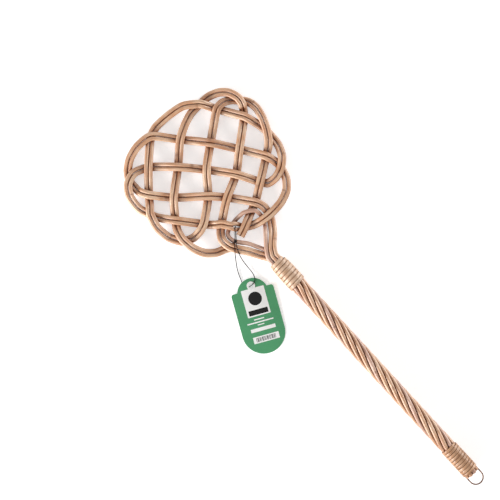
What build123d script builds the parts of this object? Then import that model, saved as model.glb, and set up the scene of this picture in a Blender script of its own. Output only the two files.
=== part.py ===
from build123d import *
import os
from math import atan2, cos, pi, radians, sin, sqrt, tan

# A carpet beater of bent rattan, lying flat: +X runs along the handle, away from the head, +Z is up.
# The head is woven from two long doubled canes and one single loop, and all their ends run down the
# handle as its strands, twisted round a core, under two bindings of flat peel.

os.makedirs("parts", exist_ok=True)

# Overall sizes, in mm
overall_length = 600.0
head_width = 203.5
neck_reach = 226.5  # far edge of the head to the neck binding
axis_offset = 14.2  # the handle's axis lies this far to the -Y side of the head's middle
weave_reach = 86.7  # far edge of the head to the middle crossing of the weave
weave_lift = 0.9  # the middle crossing lies this far to the -Y side of the head's middle
weave_angle = 47.3  # degrees, from the handle's axis to the rows of the weave

# Canes
cane_diameter = 5.2
cane_gap = 0.45  # between canes that lie side by side
cross_gap = 1.0  # between canes that cross
cane_sides = 6  # flats on a cane's section
floor_room = 0.7  # under the lowest bends of the weave
cut_share = 0.2  # a bend's corner is cut this far into the shorter run beside it
fitting_passes = 6

# Handle
strand_count = 8
strand_gap = 0.25
twist_lead = 148.0  # length of one full turn of a strand
twist_step_share = 0.121  # one step of a strand's route, as a share of a turn
neck_binding_length = 43.5
end_binding_length = 44.5
loop_reach = 17.5  # hanging loop, beyond the end of the handle
neck_ring_radius = 8.4  # circle that the strands' centres lie on in the neck binding
neck_spread = 15.0  # the strands spread from two rows to that circle over this length
neck_settle = 8.0  # and draw in to the twisted handle over this length
end_overhang = 1.2  # the strands' sawn ends show this far past the end binding
neck_splay = 30.0  # degrees, from the handle's axis to each group of three canes in the neck
throat_depth = 1.0  # the strands start to spread this far inside the neck binding
mouth_reach = 6.0  # and the groups bend apart this far outside it
crotch_reach = 11.0  # the two groups pass over each other along this length of the neck
crotch_drop = 1.3  # and fall this much along it, towards the head
core_gap = 0.3
core_nose = 9.0  # length of the core's taper at the neck
core_overhang = 0.8  # and its own sawn end this far past the strands

# Bindings of flat peel
peel_thickness = 0.9
peel_gap = 0.15  # from the peel to what it is wound on
peel_spacing_gap = 0.5  # between neighbouring turns
neck_turns = 8
end_turns = 10
arcs_per_turn = 4  # pairs of arcs in one turn of a winding
samples_per_turn = 48  # places on a turn where its gap to the next is measured
neck_entry_radius = 9.5  # inner radius of the neck binding where the canes enter it
neck_entry_length = 14.0

# Hanging loop of wire
wire_diameter = 1.8
wire_sides = 8
wire_gap = 0.15
leg_length = 32.0  # how far its legs reach into the end binding

# Swing tag
string_diameter = 1.0
string_sides = 6
string_bend_share = 0.45  # part of the shorter run beside a bend that the bend's arc takes up
string_gap = 0.3
knot_diameter = 3.6
knot_length = 3.4
knot_turns = 2
knot_reach = 14.3  # from the cane that the string turns about to the knot
knot_rise = 5.5
string_end_reach = 0.5  # the string's two ends lie this far each side of the knot's middle
thread_angle = 23.0  # degrees, the string passes through the hole along this line
thread_reach = 3.6  # and bends this far from the hole's middle
wrap_room = 0.8  # between the string and the cane that it turns about
wrap_step = 45.0  # degrees from one corner of the string's route round the cane to the next
wrap_corners = 6
tag_width = 54.0
tag_height = 96.0  # from the bottom to the top of the arch
tag_thickness = 0.5
arch_radius = 19.7
arch_rise = 14.2
shoulder_radius = 3.0
tag_lift = 1.8  # the string beneath it lifts the card by this much at its hole
hole_radius = 3.0
hole_below_top = 9.4
tag_tilt = 15.5  # degrees, its foot swings this far towards the handle
eyelet_radius = 5.3
eyelet_thickness = 0.35

# Places worked out from the sizes
half_length = overall_length / 2
neck_x = neck_reach - half_length
handle_length = overall_length - neck_reach - neck_binding_length - end_binding_length - loop_reach
twist_x = neck_x + neck_binding_length
end_x = twist_x + handle_length
tip_x = half_length
axis_y = -axis_offset
cane_radius = cane_diameter / 2
pair_pitch = cane_diameter + cane_gap
cross_rise = (cane_diameter + cross_gap) / 2
head_z = cross_rise + cane_radius + floor_room
strand_angle = 360 / strand_count
end_ring_radius = (cane_diameter + strand_gap) / (2 * sin(radians(strand_angle / 2)))
ring_radius = end_ring_radius / cos(atan2(2 * pi * end_ring_radius, twist_lead))
# The twist ends half a strand round, so that two grooves lie level for the wire's legs
twist_angle = 360 * (round(handle_length / twist_lead * strand_count - 0.5) + 0.5) / strand_count
twist_steps = round(twist_angle / 360 / twist_step_share)
twist_vertex_radius = ring_radius / cos(radians(twist_angle / twist_steps / 2))
string_radius = string_diameter / 2
wrap_radius = cane_radius + wrap_room + string_radius
string_room = (wrap_radius + string_radius + string_gap + cane_radius - pair_pitch) / 2
neck_binding_radius = neck_ring_radius + cane_radius + peel_gap
axis_z = neck_binding_radius + peel_thickness + peel_gap
# The wire's legs lie in two level grooves between the strands
wire_radius = wire_diameter / 2
groove = radians(strand_angle / 2)
leg_reach = end_ring_radius * cos(groove) + sqrt(
    (cane_radius + wire_radius + wire_gap) ** 2 - (end_ring_radius * sin(groove)) ** 2
)
end_binding_radius = max(ring_radius + cane_radius, leg_reach + wire_radius) + peel_gap


def on_weave(across, up, level):
    """A place in the weave from its shares of the head's width, and its level: 1 is over, -1 is under."""
    turn = radians(weave_angle)
    x, y = across * head_width, up * head_width
    return Vector(
        weave_reach - half_length + x * cos(turn) - y * sin(turn),
        x * sin(turn) + y * cos(turn) - weave_lift,
        head_z + level * cross_rise,
    )


def beside(points, sides):
    """The same route, each point moved sideways in plan by its side, to the left of its direction."""
    moved = []
    for i, point in enumerate(points):
        before = points[i] - points[i - 1] if i else points[1] - points[0]
        after = points[i + 1] - points[i] if i + 1 < len(points) else before
        before, after = (Vector(v.X, v.Y, 0).normalized() for v in (before, after))
        left = Vector(-before.Y - after.Y, before.X + after.X, 0).normalized()
        stretch = left.dot(Vector(-before.Y, before.X, 0))
        moved.append(point + left * (sides[i] / stretch))
    return moved


def corner_cut(a, b, c):
    """The two places where the corner at b is cut across."""
    reach = cut_share * min((a - b).length, (c - b).length)
    return b + (a - b).normalized() * reach, b + (c - b).normalized() * reach


def through(points):
    """The route, with its corners cut, whose cuts have their middles at these points."""
    corners = list(points)
    for _ in range(fitting_passes):
        cuts = [corner_cut(*near) for near in zip(corners, corners[1:], corners[2:])]
        moved = [b + point - (p + q) / 2 for b, point, (p, q) in zip(corners[1:], points[1:], cuts)]
        corners = [points[0], *moved, points[-1]]
    cuts = [corner_cut(*near) for near in zip(corners, corners[1:], corners[2:])]
    return [points[0], *(place for cut in cuts for place in cut), points[-1]]


# Crossings of the five rows (from the top) with the five columns (from the left), as shares of the
# head's width from the middle crossing
crossing_shares = {
    1: ((-0.218, 0.351), (-0.045, 0.398), (0.063, 0.369), (0.227, 0.322), (0.365, 0.235)),
    2: ((-0.341, 0.200), (-0.160, 0.184), (0.022, 0.162), (0.199, 0.125), (0.361, 0.081)),
    3: ((-0.353, 0.015), (-0.176, 0.015), (0.000, 0.000), (0.177, -0.029), (0.325, -0.074)),
    4: ((-0.353, -0.154), (-0.199, -0.169), (0.008, -0.162), (0.125, -0.169), (0.295, -0.199)),
    5: ((-0.341, -0.274), (-0.191, -0.309), (-0.018, -0.331), (0.089, -0.331), (0.232, -0.348)),
}


def row(number, columns):
    """A row through its crossings: it is over where the row and column numbers add up to an odd number."""
    return [(*crossing_shares[number][c - 1], 1 if (number + c) % 2 else -1) for c in columns]


def column(number, rows):
    """A column through its crossings, over where the row is under."""
    return [(*crossing_shares[r][number - 1], -1 if (number + r) % 2 else 1) for r in rows]


# Bends outside the crossings: across and up as above, and the level
neck_right_shares = [(0.402, -0.387, 0.9), (0.396, -0.330, -1.0), (0.381, -0.272, -1.0), (0.344, -0.224, 0.15)]
left_lobe_shares = [
    (-0.395, -0.141, 0.8),
    (-0.422, -0.124, -0.4),
    (-0.467, -0.072, -1.0),
    (-0.481, -0.008, -1.0),
    (-0.467, 0.065, 0.0),
    (-0.422, 0.138, 0.8),
]
lower_lobe_shares = [
    (0.411, 0.053, 0.0),
    (0.436, 0.033, -0.9),
    (0.453, 0.010, -1.0),
    (0.481, -0.050, -0.4),
    (0.484, -0.123, 0.5),
    (0.450, -0.199, 1.0),
    (0.390, -0.266, 1.0),
    (0.340, -0.305, 0.9),
    (0.289, -0.333, -0.7),
]
left_loop_shares = [
    (-0.413, -0.236, -0.9),
    (-0.464, -0.166, 0.8),
    (-0.476, -0.090, 1.0),
    (-0.443, -0.023, 0.6),
]
right_lobe_shares = [
    (0.371, -0.081, -0.5),
    (0.420, -0.047, 0.9),
    (0.450, 0.013, 1.0),
    (0.457, 0.077, 1.0),
    (0.435, 0.150, -0.9),
]
corner_shares = [(-0.145, 0.384, 0.9), (-0.240, 0.323, 0.0), (-0.312, 0.257, -0.9)]
bottom_lobe_shares = [
    (-0.300, -0.351, 0.9),
    (-0.230, -0.412, -0.9),
    (-0.148, -0.436, -1.0),
    (-0.081, -0.414, -0.3),
    (-0.039, -0.373, 1.0),
]
top_lobe_shares = [
    (0.095, 0.405, 0.6),
    (0.147, 0.424, -0.8),
    (0.204, 0.422, -1.0),
    (0.256, 0.412, -1.0),
    (0.302, 0.375, 0.0),
    (0.338, 0.314, 1.0),
]
row_fall_shares = [(0.058, -0.335, 0.7), (0.016, -0.335, -0.7)]
row_low_shares = [(-0.304, -0.290, -0.8)]
column_climb_shares = [(-0.349, -0.192, -0.8), (-0.344, -0.245, 0.7)]
row_dip_shares = [(0.314, 0.275, -0.7), (0.253, 0.309, 0.95)]
row_rise_shares = [(0.013, 0.385, -0.1), (-0.018, 0.393, 0.9)]
column_dip_shares = [(0.376, 0.160, 0.5)]
loop_dip_shares = [(0.270, -0.254, -1.0), (0.246, -0.312, 0.7)]
cut_end_shares = [(0.204, -0.405, 1.0)]
string_place = (0.175, -0.346, 0.35)
string_side_shares = [(0.206, -0.349, -0.9), string_place, (0.147, -0.343, 1.0)]
neck_left_shares = [
    (0.253, -0.497, 0.9),
    (0.189, -0.484, 1.0),
    (0.137, -0.467, 1.0),
    (0.098, -0.433, 0.5),
    (0.084, -0.385, -0.8),
]
crown_shares = [
    (0.222, 0.366, -0.8),
    (0.216, 0.396, 1.0),
    (0.189, 0.436, 1.0),
    (0.134, 0.466, 0.7),
    (0.074, 0.469, 0.0),
    (0.010, 0.445, -0.9),
]
shoulder_shares = [(-0.097, 0.342, -0.8), (-0.130, 0.278, 0.3)]
hidden_end_shares = [
    (-0.179, -0.367, -0.4),
    (-0.145, -0.424, 1.0),
    (-0.084, -0.476, 1.0),
    (-0.012, -0.506, 0.0),
    (0.055, -0.505, -0.7),
    (0.116, -0.482, -1.0),
    (0.177, -0.467, -1.0),
]
loop_shares = [
    (0.357, -0.387, 0.9),
    (0.355, -0.342, -0.9),
    (0.343, -0.300, -1.0),
    (0.322, -0.269, -0.4),
    (0.295, -0.249, 0.8),
    (0.267, -0.249, 1.0),
    (0.222, -0.263, 0.7),
    (0.177, -0.303, -1.0),
    (0.142, -0.348, -1.0),
    (0.127, -0.388, -0.5),
    (0.137, -0.413, 0.0),
    (0.163, -0.432, 0.4),
    (0.203, -0.442, 0.6),
    (0.253, -0.449, 0.6),
]

long_shares = (
    neck_right_shares
    + row(4, (5, 4, 3, 2, 1))
    + left_lobe_shares
    + row(2, (1, 2, 3, 4, 5))
    + lower_lobe_shares
    + row(5, (5,))
    + string_side_shares
    + row(5, (4,))
    + row_fall_shares
    + row(5, (3, 2))
    + row_low_shares
    + row(5, (1,))
    + left_loop_shares
    + row(3, (1, 2, 3, 4, 5))
    + right_lobe_shares
    + row(1, (5,))
    + row_dip_shares
    + row(1, (4, 3))
    + row_rise_shares
    + row(1, (2,))
    + corner_shares
    + column(1, (2, 3, 4))
    + column_climb_shares
    + column(1, (5,))
    + bottom_lobe_shares
    + column(3, (5, 4, 3, 2, 1))
    + top_lobe_shares
    + column(5, (1,))
    + column_dip_shares
    + column(5, (2, 3, 4))
    + loop_dip_shares
    + column(5, (5,))
    + cut_end_shares
)
short_shares = (
    neck_left_shares
    + column(4, (5, 4, 3, 2, 1))
    + crown_shares
    + column(2, (1,))
    + shoulder_shares
    + column(2, (2, 3, 4, 5))
    + hidden_end_shares
)


def entry(level, pitches):
    """Where a cane enters the neck binding, in the upper (1) or lower (-1) row of three: throat, mouth, crotch."""
    side = pitches * pair_pitch
    splay = radians(neck_splay)
    throat = Vector(neck_x + throat_depth, axis_y + side, axis_z + level * cross_rise)
    mouth = throat + Vector(level * side * tan(splay / 2) - throat_depth - mouth_reach, 0, 0)
    crotch = mouth + Vector(-crotch_reach * cos(splay), level * crotch_reach * sin(splay), -crotch_drop)
    return [throat, mouth, crotch]


def strand(number):
    """A strand of the handle from its sawn end to the neck binding, number steps round the ring from +Y."""
    start = radians(number * strand_angle)
    full_turn = radians(twist_angle)
    places = [(neck_x + neck_spread, neck_ring_radius, 0.0)]
    places.append((twist_x - neck_settle, neck_ring_radius, 0.0))
    for step in range(twist_steps + 1):
        part = step / twist_steps
        radius = twist_vertex_radius if 0 < step < twist_steps else ring_radius
        places.append((twist_x + part * handle_length, radius, part * full_turn))
    places.append((end_x + neck_settle, end_ring_radius, full_turn))
    places.append((end_x + end_binding_length + end_overhang, end_ring_radius, full_turn))
    return [
        Vector(x, axis_y + r * cos(start + turn), axis_z + r * sin(start + turn))
        for x, r, turn in reversed(places)
    ]


def paired(shares, level, middle, numbers):
    """The two routes of a pair: its strands, its entry, and the weave to the left and right of its middle."""
    weave = entry(level, middle) + [on_weave(*share) for share in shares]
    entry_count = len(weave) - len(shares)
    half = [pair_pitch / 2] * entry_count
    half += [pair_pitch / 2 + (string_room if share == string_place else 0) for share in shares]
    routes = []
    for hand, number in zip((1, -1), numbers):
        own = beside(weave, [hand * h for h in half])[entry_count:]
        routes.append(strand(number) + through(entry(level, middle - hand / 2) + own))
    return routes


long_routes = paired(long_shares, 1, 0.5, (2, 1))
short_routes = paired(short_shares, -1, -0.5, (5, 6))
loop_route = entry(1, -1) + [on_weave(*share) for share in loop_shares] + list(reversed(entry(-1, 1)))
loop_route = strand(3) + through(loop_route) + list(reversed(strand(7)))
cane_routes = {
    "long_cane_left": long_routes[0],
    "long_cane_right": long_routes[1],
    "short_cane_left": short_routes[0],
    "short_cane_right": short_routes[1],
    "neck_loop_cane": loop_route,
    "filler_cane_left": strand(4),
    "filler_cane_right": strand(0),
}

# Canes: rod bent along its route, in short straight runs that meet at mitres
for name, route in cane_routes.items():
    with BuildPart() as cane:
        with BuildLine() as path:
            Polyline(*route)
        with BuildSketch(Plane(origin=path.line @ 0, z_dir=path.line % 0)):
            RegularPolygon(cane_radius, cane_sides)
        sweep(path=path.line, transition=Transition.RIGHT)
    cane.part.label = name
    export_step(cane.part, f"parts/{name}.step")

# Core: straight stick with a pointed nose, which fills the ring of strands
handle_end_x = end_x + end_binding_length + end_overhang + core_overhang
core_profile = [
    (neck_x + neck_spread, 0),
    (neck_x + neck_spread + core_nose, neck_ring_radius - cane_radius - core_gap),
    (twist_x - neck_settle, neck_ring_radius - cane_radius - core_gap),
    (twist_x, ring_radius - cane_radius - core_gap),
    (end_x, ring_radius - cane_radius - core_gap),
    (end_x + neck_settle, end_ring_radius - cane_radius - core_gap),
    (handle_end_x, end_ring_radius - cane_radius - core_gap),
    (handle_end_x, 0),
]
with BuildPart() as handle_core:
    with BuildSketch(Plane.XY.offset(axis_z)):
        with BuildLine(Plane.XY.offset(axis_z).shift_origin((0, axis_y, axis_z))):
            Polyline(*core_profile, close=True)
        make_face()
    revolve(axis=Axis((0, axis_y, axis_z), (1, 0, 0)))
handle_core.part.label = "handle_core"
export_step(handle_core.part, "parts/handle_core.step")


def neck_binding_inside(x):
    """The inner radius of the neck binding, which opens out as the strands spread."""
    share = min(1, (x - neck_x) / neck_entry_length)
    return neck_entry_radius + share * (neck_binding_radius - neck_entry_radius)


def end_binding_inside(x):
    return end_binding_radius


def wind(name, start_x, length, turns, inside):
    """Flat peel wound round the handle, in two arcs from each station on its turns to the next."""
    pitch = (length + peel_spacing_gap) / (turns + 1)
    width = pitch - peel_spacing_gap
    rate = 2 * pi / pitch
    stations = []
    for i in range(turns * arcs_per_turn + 1):
        x = start_x + width / 2 + i * pitch / arcs_per_turn
        angle = i * 2 * pi / arcs_per_turn
        r = inside(x) + peel_thickness / 2
        place = Vector(x, axis_y + r * cos(angle), axis_z + r * sin(angle))
        stations.append((place, Vector(1, -r * rate * sin(angle), r * rate * cos(angle)).normalized()))
    with BuildPart() as winding:
        with BuildLine() as path:
            place, heading = stations[0]
            Line(place - heading * peel_thickness, place)
            for (a, start), (b, finish) in zip(stations, stations[1:]):
                chord, both = b - a, start + finish
                spread = both.dot(both) - 4
                half = chord.dot(both)
                reach = (half - sqrt(half**2 - spread * chord.dot(chord))) / spread
                middle = (a + start * reach + b - finish * reach) / 2
                TangentArc(a, middle, tangent=start)
                TangentArc(middle, b, tangent=(chord - both * reach).normalized())
            place, heading = stations[-1]
            Line(place, place + heading * peel_thickness)
        with BuildLine() as axis_line:
            Line((stations[0][0].X, axis_y, axis_z), (stations[-1][0].X, axis_y, axis_z))
        heading = path.line % 0
        across = (Vector(1, 0, 0) - heading * heading.X).normalized()
        with BuildSketch(Plane(origin=path.line @ 0, x_dir=across, z_dir=heading)):
            Rectangle(width, peel_thickness)
        sweep(path=path.line, binormal=axis_line.edge())
    count = turns * samples_per_turn
    places = [path.line @ (i / count) for i in range(count + 1)]
    later = samples_per_turn // 2
    gap = min((a - b).length for i, a in enumerate(places) for b in places[i + later :]) - width
    print(name, "least gap between turns", round(gap, 2), "mm")
    winding.part.label = name
    export_step(winding.part, f"parts/{name}.step")


wind("neck_binding", neck_x, neck_binding_length, neck_turns, neck_binding_inside)
wind("end_binding", end_x, end_binding_length, end_turns, end_binding_inside)

# Hanging loop: wire bent to a U, both legs under the end binding
leg_start_x = end_x + end_binding_length - leg_length
bow_x = tip_x - wire_radius - leg_reach
with BuildPart() as hanging_loop:
    with BuildLine() as path:
        Line((leg_start_x, axis_y - leg_reach, axis_z), (bow_x, axis_y - leg_reach, axis_z))
        ThreePointArc(
            (bow_x, axis_y - leg_reach, axis_z),
            (bow_x + leg_reach, axis_y, axis_z),
            (bow_x, axis_y + leg_reach, axis_z),
        )
        Line((bow_x, axis_y + leg_reach, axis_z), (leg_start_x, axis_y + leg_reach, axis_z))
    with BuildSketch(Plane(origin=path.line @ 0, z_dir=path.line % 0)):
        RegularPolygon(wire_radius, wire_sides)
    sweep(path=path.line)
hanging_loop.part.label = "hanging_loop"
export_step(hanging_loop.part, "parts/hanging_loop.step")

# Places of the string between its knot and the tag: across and up in the weave as above, and its height
# as a share of the head's, over the canes at 1 and on the floor at 0
right_leg_shares = [
    (0.182, -0.467, 1.06),
    (0.191, -0.498, 1.04),
    (0.201, -0.523, 0.82),
    (0.223, -0.559, 0.35),
    (0.251, -0.594, 0.07),
    (0.276, -0.624, 0.05),
    (0.292, -0.653, 0.21),
    (0.292, -0.678, 0.21),
]
left_leg_shares = [
    (0.238, -0.718, 0.0),
    (0.219, -0.703, 0.0),
    (0.209, -0.674, 0.0),
    (0.195, -0.640, 0.0),
    (0.184, -0.602, 0.03),
    (0.178, -0.561, 0.35),
    (0.174, -0.528, 0.82),
    (0.172, -0.500, 1.04),
    (0.170, -0.473, 1.06),
]
tag_hole_shares = (0.268, -0.706)
weave_across = Vector(cos(radians(weave_angle)), sin(radians(weave_angle)), 0)
weave_up = Vector(-sin(radians(weave_angle)), cos(radians(weave_angle)), 0)
weave_top = head_z + cross_rise + cane_radius
wrap_centre = on_weave(*string_place) - weave_up * (pair_pitch / 2 + string_room)
side_step = (string_diameter + string_gap) / 2


def on_string(across, up, height):
    place = on_weave(across, up, 0)
    return Vector(place.X, place.Y, string_radius + string_gap + height * weave_top)


def off_cane(side, out, rise):
    """A place beside the cane that the string turns about: along it, out from it and above it."""
    return wrap_centre + weave_across * side - weave_up * out + Vector(0, 0, rise)


# The card lies with its foot on the floor and its hole on the string
tag_heading = radians(tag_tilt + weave_angle - 90)
tag_slope = atan2(tag_lift, tag_height - hole_below_top)
tag_foot = Vector(cos(tag_heading) * cos(tag_slope), sin(tag_heading) * cos(tag_slope), -sin(tag_slope))
tag_face = Vector(cos(tag_heading) * sin(tag_slope), sin(tag_heading) * sin(tag_slope), cos(tag_slope))
hole_place = on_weave(*tag_hole_shares, 0)
tag_plane = Plane(
    origin=(hole_place.X, hole_place.Y, tag_lift), x_dir=tag_face.cross(tag_foot), z_dir=tag_face
)

# Card: round foot, straight sides, and an arch between two shoulders at the top
shoulder_y = hole_below_top - arch_rise
arch_half = sqrt(arch_radius**2 - (arch_radius - arch_rise) ** 2)
with BuildPart() as tag_card:
    with BuildSketch(tag_plane):
        with BuildLine():
            FilletPolyline(
                (-tag_width / 2, hole_below_top - tag_height + tag_width / 2),
                (-tag_width / 2, shoulder_y),
                (-arch_half, shoulder_y),
                radius=shoulder_radius,
            )
            ThreePointArc((-arch_half, shoulder_y), (0, hole_below_top), (arch_half, shoulder_y))
            FilletPolyline(
                (arch_half, shoulder_y),
                (tag_width / 2, shoulder_y),
                (tag_width / 2, hole_below_top - tag_height + tag_width / 2),
                radius=shoulder_radius,
            )
            ThreePointArc(
                (tag_width / 2, hole_below_top - tag_height + tag_width / 2),
                (0, hole_below_top - tag_height),
                (-tag_width / 2, hole_below_top - tag_height + tag_width / 2),
            )
        make_face()
        Circle(hole_radius, mode=Mode.SUBTRACT)
    extrude(amount=tag_thickness)
tag_card.part.label = "tag_card"
export_step(tag_card.part, "parts/tag_card.step")

# Eyelet: ring round the hole, on the card's face
with BuildPart() as tag_eyelet:
    with BuildSketch(tag_plane.offset(tag_thickness)):
        Circle(eyelet_radius)
        Circle(hole_radius, mode=Mode.SUBTRACT)
    extrude(amount=eyelet_thickness)
tag_eyelet.part.label = "tag_eyelet"
export_step(tag_eyelet.part, "parts/tag_eyelet.step")

# String: from its knot round the cane, back through the knot, down through the tag and up to the knot
wrap_corner = wrap_radius / cos(radians(wrap_step / 2))
thread = Vector(cos(radians(thread_angle)), sin(radians(thread_angle)), 0) * thread_reach
thread_top = tag_thickness + eyelet_thickness + string_radius + 2 * string_gap
thread_bottom = -string_radius - 2 * string_gap
string_route = [off_cane(-side_step, knot_reach - string_end_reach, knot_rise)]
for i in range(wrap_corners):
    side = side_step * (2 * i / (wrap_corners - 1) - 1)
    angle = pi / 2 + radians(i * wrap_step)
    string_route.append(off_cane(side, wrap_corner * cos(angle), wrap_corner * sin(angle)))
string_route.append(off_cane(side_step, knot_reach - knot_length, knot_rise))
string_route += [on_string(*share) for share in right_leg_shares]
string_route.append(tag_plane.from_local_coords(thread + Vector(0, 0, thread_top)))
string_route.append(tag_plane.from_local_coords(Vector(0, 0, thread_bottom) - thread))
string_route += [on_string(*share) for share in left_leg_shares]
string_route.append(off_cane(-side_step, knot_reach + string_end_reach, knot_rise))
string_radii = []
for a, b, c in zip(string_route, string_route[1:], string_route[2:]):
    turn = radians((b - a).get_angle(c - b))
    string_radii.append(string_bend_share * min((b - a).length, (c - b).length) / tan(turn / 2))
with BuildPart() as tag_string:
    with BuildLine() as path:
        FilletPolyline(*string_route, radius=string_radii)
    with BuildSketch(Plane(origin=path.line @ 0, z_dir=path.line % 0)) as section:
        RegularPolygon(string_radius, string_sides)
    sweep(path=path.line)
string_length = sum(edge.length for edge in path.line.edges())
section_by_length = section.sketch.area * string_length
print("tag_string length", round(string_length), "mm, tightest bend", round(min(string_radii), 1), "mm")
print("tag_string volume", round(tag_string.part.volume), "section by length", round(section_by_length))
tag_string.part.label = "tag_string"
export_step(tag_string.part, "parts/tag_string.step")

# Knot: turns of the string round its strands
knot_place = off_cane(0, knot_reach, knot_rise)
knot_turn = knot_length / knot_turns
knot_profile = [(-knot_length / 2, 0), (-knot_length / 2, knot_diameter / 2 - string_radius)]
for i in range(knot_turns):
    start = i * knot_turn - knot_length / 2
    knot_profile.append((start + knot_turn / 2, knot_diameter / 2))
    knot_profile.append((start + knot_turn, knot_diameter / 2 - string_radius))
knot_profile.append((knot_length / 2, 0))
with BuildPart() as string_knot:
    with BuildSketch(Plane(origin=knot_place, x_dir=-weave_up, z_dir=weave_across)):
        with BuildLine():
            Polyline(*knot_profile, close=True)
        make_face()
    revolve(axis=Axis(knot_place, -weave_up))
string_knot.part.label = "string_knot"
export_step(string_knot.part, "parts/string_knot.step")
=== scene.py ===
from math import atan2, cos, pi, radians, sin, sqrt, tan

import bpy
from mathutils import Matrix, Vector


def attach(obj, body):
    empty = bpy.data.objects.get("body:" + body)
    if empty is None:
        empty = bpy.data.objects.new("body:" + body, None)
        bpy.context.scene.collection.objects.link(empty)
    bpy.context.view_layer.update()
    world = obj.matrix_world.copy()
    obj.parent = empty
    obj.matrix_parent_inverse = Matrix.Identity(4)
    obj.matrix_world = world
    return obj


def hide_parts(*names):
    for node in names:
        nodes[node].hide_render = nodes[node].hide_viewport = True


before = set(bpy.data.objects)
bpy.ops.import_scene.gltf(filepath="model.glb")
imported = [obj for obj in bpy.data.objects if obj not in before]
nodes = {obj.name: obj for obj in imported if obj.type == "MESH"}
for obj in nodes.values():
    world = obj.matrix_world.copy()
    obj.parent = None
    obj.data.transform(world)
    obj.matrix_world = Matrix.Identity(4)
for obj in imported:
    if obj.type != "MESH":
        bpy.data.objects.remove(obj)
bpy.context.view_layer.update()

MM = 0.001
scene = bpy.context.scene


def placed(name, data):
    """A new object in the scene, with this data."""
    made = bpy.data.objects.new(name, data)
    scene.collection.objects.link(made)
    return made


# Camera: straight above, turned so that the handle runs down to the lower right
view_middle = Vector((-0.104, -0.029, 0.006))
view_width = 0.6185
view_turn = 47.3
camera_data = bpy.data.cameras.new("camera")
camera_data.lens = 85
camera_data.sensor_width = 36
view_distance = view_width * camera_data.lens / camera_data.sensor_width
camera = placed("camera", camera_data)
camera.location = view_middle + Vector((0, 0, view_distance))
camera.rotation_euler = (0, 0, radians(view_turn))
scene.camera = camera

# Sizes in mm, as in the part's source but for cane_gap: the round canes here are a little fuller
# than its six-sided ones, by cane_fullness, and lie closer together
overall_length = 600.0
head_width = 203.5
neck_reach = 226.5
axis_offset = 14.2
weave_reach = 86.7
weave_lift = 0.9
weave_angle = 47.3
cane_diameter = 5.2
cane_gap = 0.15
cane_fullness = 1.045
cross_gap = 1.0
floor_room = 0.7
cut_share = 0.2
fitting_passes = 6
strand_count = 8
strand_gap = 0.25
twist_lead = 148.0
twist_steps = 30
neck_binding_length = 43.5
end_binding_length = 44.5
loop_reach = 17.5
neck_ring_radius = 8.4
neck_spread = 15.0
neck_settle = 8.0
end_overhang = 1.2
neck_splay = 30.0
throat_depth = 1.0
mouth_reach = 6.0
crotch_reach = 11.0
crotch_drop = 1.3
peel_thickness = 0.9
peel_gap = 0.15
neck_turns = 8
end_turns = 10
neck_entry_radius = 9.5
neck_entry_length = 14.0
wire_diameter = 1.8
wire_gap = 0.15
leg_length = 32.0
string_diameter = 1.0
string_gap = 0.3
knot_length = 3.4
knot_reach = 14.3
knot_rise = 5.5
string_end_reach = 0.5
thread_angle = 23.0
thread_reach = 3.6
wrap_room = 0.8
tag_height = 96.0
tag_thickness = 0.5
tag_lift = 1.8
hole_below_top = 9.4
tag_tilt = 15.5
eyelet_thickness = 0.35

half_length = overall_length / 2
neck_x = neck_reach - half_length
handle_length = overall_length - neck_reach - neck_binding_length - end_binding_length - loop_reach
twist_x = neck_x + neck_binding_length
end_x = twist_x + handle_length
tip_x = half_length
axis_y = -axis_offset
cane_radius = cane_diameter / 2
pair_pitch = cane_diameter + cane_gap
cross_rise = (cane_diameter + cross_gap) / 2
head_z = cross_rise + cane_radius + floor_room
strand_angle = 360 / strand_count
end_ring_radius = (cane_diameter + strand_gap) / (2 * sin(radians(strand_angle / 2)))
ring_radius = end_ring_radius / cos(atan2(2 * pi * end_ring_radius, twist_lead))
twist_angle = 360 * (round(handle_length / twist_lead * strand_count - 0.5) + 0.5) / strand_count
twist_vertex_radius = ring_radius / cos(radians(twist_angle / twist_steps / 2))
string_radius = string_diameter / 2
wrap_radius = cane_radius + wrap_room + string_radius
string_room = (wrap_radius + string_radius + string_gap + cane_radius - pair_pitch) / 2
neck_binding_radius = neck_ring_radius + cane_radius + peel_gap
axis_z = neck_binding_radius + peel_thickness + peel_gap
wire_radius = wire_diameter / 2
groove = radians(strand_angle / 2)
leg_reach = end_ring_radius * cos(groove) + sqrt(
    (cane_radius + wire_radius + wire_gap) ** 2 - (end_ring_radius * sin(groove)) ** 2
)
end_binding_radius = max(ring_radius + cane_radius, leg_reach + wire_radius) + peel_gap
weave_top = head_z + cross_rise + cane_radius
weave_across = Vector((cos(radians(weave_angle)), sin(radians(weave_angle)), 0))
weave_up = Vector((-sin(radians(weave_angle)), cos(radians(weave_angle)), 0))


def on_weave(across, up, level):
    """A place in the weave from its shares of the head's width, and its level."""
    middle = Vector((weave_reach - half_length, -weave_lift, head_z + level * cross_rise))
    return middle + (weave_across * across + weave_up * up) * head_width


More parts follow.
